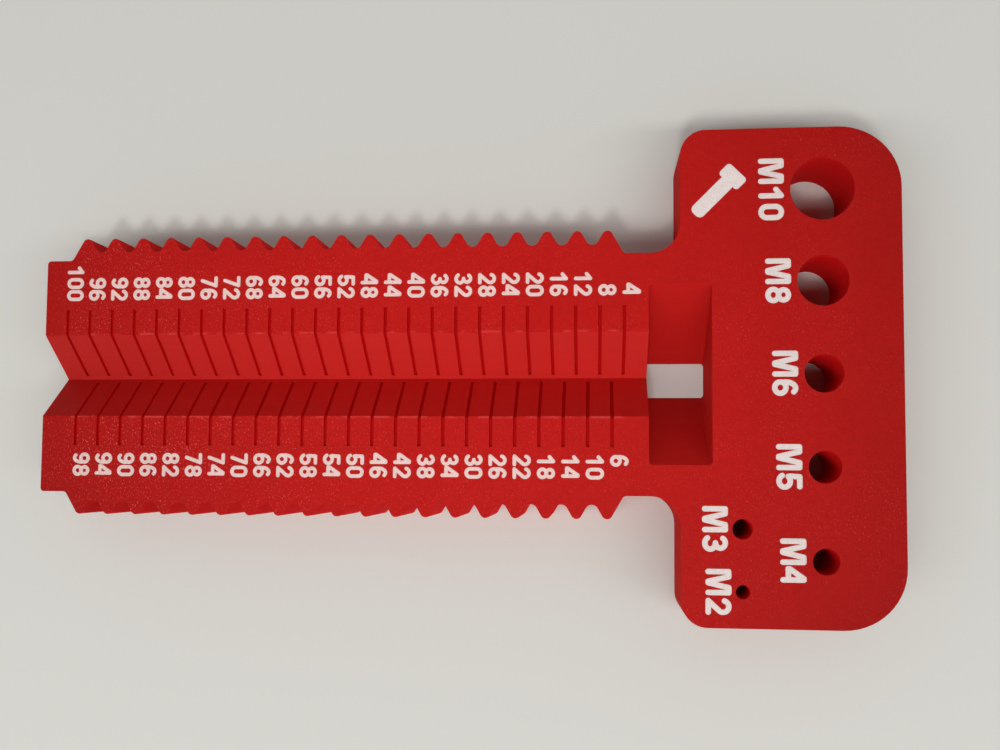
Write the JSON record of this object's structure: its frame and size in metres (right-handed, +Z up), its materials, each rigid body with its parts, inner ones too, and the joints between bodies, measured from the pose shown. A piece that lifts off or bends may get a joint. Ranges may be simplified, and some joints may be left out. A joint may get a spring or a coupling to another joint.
{
  "type": "screw size gauge",
  "caption": "Flat red plastic gauge: a V-shaped trough with a length scale and head pocket, toothed long edges, and a wide head with through holes that test screw thread sizes.",
  "frame": {"origin": "on the underside, below the middle of the overall box", "axes": "+X along the bar towards the head with the test holes, +Y across the bar towards the largest test hole, +Z up out of the marked face"},
  "size_m": [0.1446, 0.0814, 0.012],
  "materials": {
    "red_plastic": "red printed plastic, fine grain on the marked face and faint layer lines on the walls",
    "white_plastic": "white printed plastic of the flush figures, labels and screw sign"
  },
  "bodies": {
    "root": {"gauge_body": "red_plastic"}
  },
  "joints": []
}
